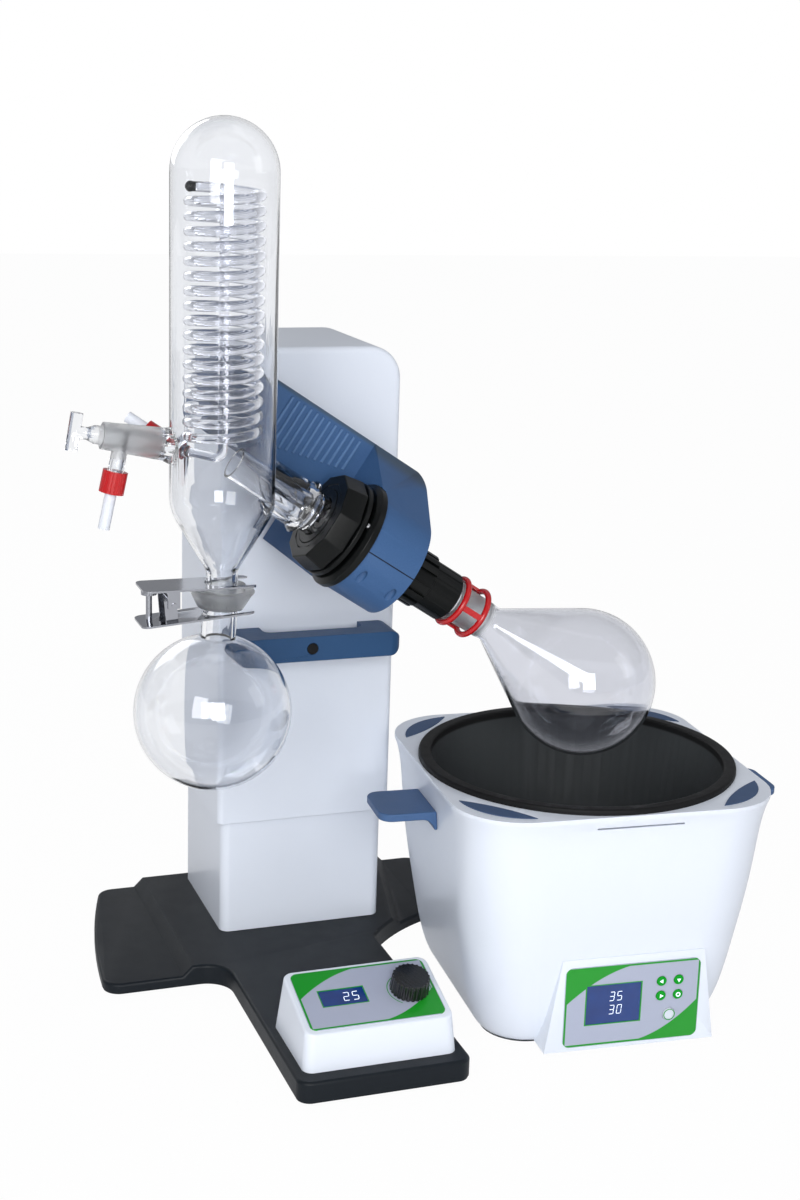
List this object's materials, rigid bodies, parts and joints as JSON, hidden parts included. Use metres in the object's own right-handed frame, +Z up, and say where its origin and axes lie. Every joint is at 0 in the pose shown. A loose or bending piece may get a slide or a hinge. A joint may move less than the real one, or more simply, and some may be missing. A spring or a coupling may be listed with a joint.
{
  "type": "rotary evaporator",
  "caption": "Bench rotary evaporator: friction-held lift on a column, tilted drive head, glass coil condenser, evaporating and receiving flasks, heating bath beside it.",
  "frame": {"origin": "on the table, below the middle of the column", "axes": "+X to the right along the column's front, +Y to the back, +Z up"},
  "size_m": [0.6447, 0.4572, 0.776],
  "materials": {
    "charcoal": "fine grain",
    "rubber": "matt",
    "white_paint": "satin",
    "black_paint": "satin",
    "aluminium": "machined",
    "steel": "ground",
    "brass": "turned",
    "blue_handle": "fine grain",
    "blue_head": "fine grain",
    "black_plastic": "semi gloss",
    "seal_white": "smooth",
    "glass": "clear",
    "red_plastic": "gloss",
    "nozzle_white": "smooth",
    "chrome": "bright",
    "white_plastic": "semi gloss",
    "panel": "printed film",
    "display": "window",
    "bath_white": "satin",
    "basin_black": "non-stick coating",
    "pad_blue": "matt",
    "handle_blue": "fine grain",
    "key_green": "matt",
    "key_white": "matt"
  },
  "bodies": {
    "base": {"base_housing": "charcoal", "base_bottom_plate": "charcoal", "base_feet": "rubber", "column_cover": "white_paint", "rod_blocks": "aluminium", "guide_rods": "steel", "gas_spring_body": "black_paint", "control_box_housing": "white_plastic", "control_panel_plate": "panel", "control_display": "display", "speed_pot": "black_plastic"},
    "lift": {"carriage": "aluminium", "guide_bushes": "brass", "gas_spring_rod": "steel", "column_sleeve": "white_paint", "lift_handle": "blue_handle", "lock_spring": "steel", "head_upper_cover": "blue_head", "head_lower_cover": "blue_head", "head_screws": "steel", "head_frame": "aluminium", "shaft_bearings": "steel", "drive_motor": "black_paint", "drive_belt": "rubber", "coupling_flange": "black_plastic", "shaft_seal": "seal_white", "retaining_ring": "black_plastic", "condenser_jacket": "glass", "condenser_coil": "glass", "hose_caps": "red_plastic", "hose_nozzles": "nozzle_white", "receiving_flask": "glass", "clamp_upper_fork": "chrome", "clamp_lower_fork": "chrome"},
    "lock_button": {"lock_button": "black_plastic"},
    "rotor": {"hollow_shaft": "steel", "shaft_pulley": "aluminium", "vapour_duct": "glass", "flask_clip": "red_plastic", "evaporating_flask": "glass"},
    "flask_knob": {"flask_knob": "black_plastic"},
    "motor_rotor": {"motor_pulley": "steel"},
    "union_nut": {"union_nut": "black_plastic"},
    "stopcock_plug": {"stopcock_plug": "glass"},
    "clamp_nut": {"clamp_nut": "chrome"},
    "speed_knob": {"speed_knob": "black_plastic"},
    "bath": {"bath_housing": "bath_white", "bath_basin": "basin_black", "bath_pads": "pad_blue", "bath_handles": "handle_blue", "bath_heater": "steel", "bath_bottom_plate": "charcoal", "bath_panel_plate": "panel", "bath_display": "display"},
    "bath_key_up": {"bath_key_up": "key_green"},
    "bath_key_left": {"bath_key_left": "key_green"},
    "bath_key_down": {"bath_key_down": "key_green"},
    "bath_key_enter": {"bath_key_enter": "key_green"},
    "bath_key_menu": {"bath_key_menu": "key_white"}
  },
  "joints": [
    {"name": "lift_slide", "type": "slide", "parent": "base", "child": "lift", "axis": [0, 0, 1], "range_m": [-0.072, 0.012]},
    {"name": "lock_press", "type": "slide", "parent": "lift", "child": "lock_button", "axis": [0, 1, 0], "range_m": [0, 0.003], "stiffness_N_per_m": 300, "springref_m": -0.001},
    {"name": "flask_spin", "type": "hinge", "parent": "lift", "child": "rotor", "pos_m": [0.2082, -0.226, 0.2965], "axis": [-0.8387, 0, 0.5446], "continuous": true},
    {"name": "motor_spin", "type": "hinge", "parent": "lift", "child": "motor_rotor", "pos_m": [0.03093, -0.134, 0.46051], "axis": [-0.8387, 0, 0.5446], "continuous": true},
    {"name": "knob_turn", "type": "hinge", "parent": "rotor", "child": "flask_knob", "pos_m": [0.2082, -0.226, 0.2965], "axis": [-0.8387, 0, 0.5446], "range_deg": [-180, 180]},
    {"name": "union_nut_turn", "type": "hinge", "parent": "lift", "child": "union_nut", "pos_m": [0.2082, -0.226, 0.2965], "axis": [-0.8387, 0, 0.5446], "range_deg": [-180, 180]},
    {"name": "stopcock_turn", "type": "hinge", "parent": "lift", "child": "stopcock_plug", "pos_m": [-0.17, -0.226, 0.5215], "axis": [-0.9863, 0, 0.165], "continuous": true},
    {"name": "clamp_nut_turn", "type": "hinge", "parent": "lift", "child": "clamp_nut", "pos_m": [-0.182, -0.226, 0.4043], "axis": [0, 0, 1], "continuous": true},
    {"name": "speed_turn", "type": "hinge", "parent": "base", "child": "speed_knob", "pos_m": [0.0215, -0.31348, 0.06426], "axis": [0, -0.2791, 0.9603], "range_deg": [-135, 135]},
    {"name": "bath_shift", "type": "slide", "parent": "base", "child": "bath", "axis": [1, 0, 0], "range_m": [0, 0.12]},
    {"name": "key_up_press", "type": "slide", "parent": "bath", "child": "bath_key_up", "axis": [0.0785, 0.9969, 0], "range_m": [0, 0.0005], "stiffness_N_per_m": 800, "springref_m": -0.0003},
    {"name": "key_left_press", "type": "slide", "parent": "bath", "child": "bath_key_left", "axis": [0.0785, 0.9969, 0], "range_m": [0, 0.0005], "stiffness_N_per_m": 800, "springref_m": -0.0003},
    {"name": "key_down_press", "type": "slide", "parent": "bath", "child": "bath_key_down", "axis": [0.0785, 0.9969, 0], "range_m": [0, 0.0005], "stiffness_N_per_m": 800, "springref_m": -0.0003},
    {"name": "key_enter_press", "type": "slide", "parent": "bath", "child": "bath_key_enter", "axis": [0.0785, 0.9969, 0], "range_m": [0, 0.0005], "stiffness_N_per_m": 800, "springref_m": -0.0003},
    {"name": "key_menu_press", "type": "slide", "parent": "bath", "child": "bath_key_menu", "axis": [0.0785, 0.9969, 0], "range_m": [0, 0.0005], "stiffness_N_per_m": 800, "springref_m": -0.0003}
  ],
  "couplings": [
    {"joint": "motor_spin", "follows": "flask_spin", "ratio": 3}
  ]
}
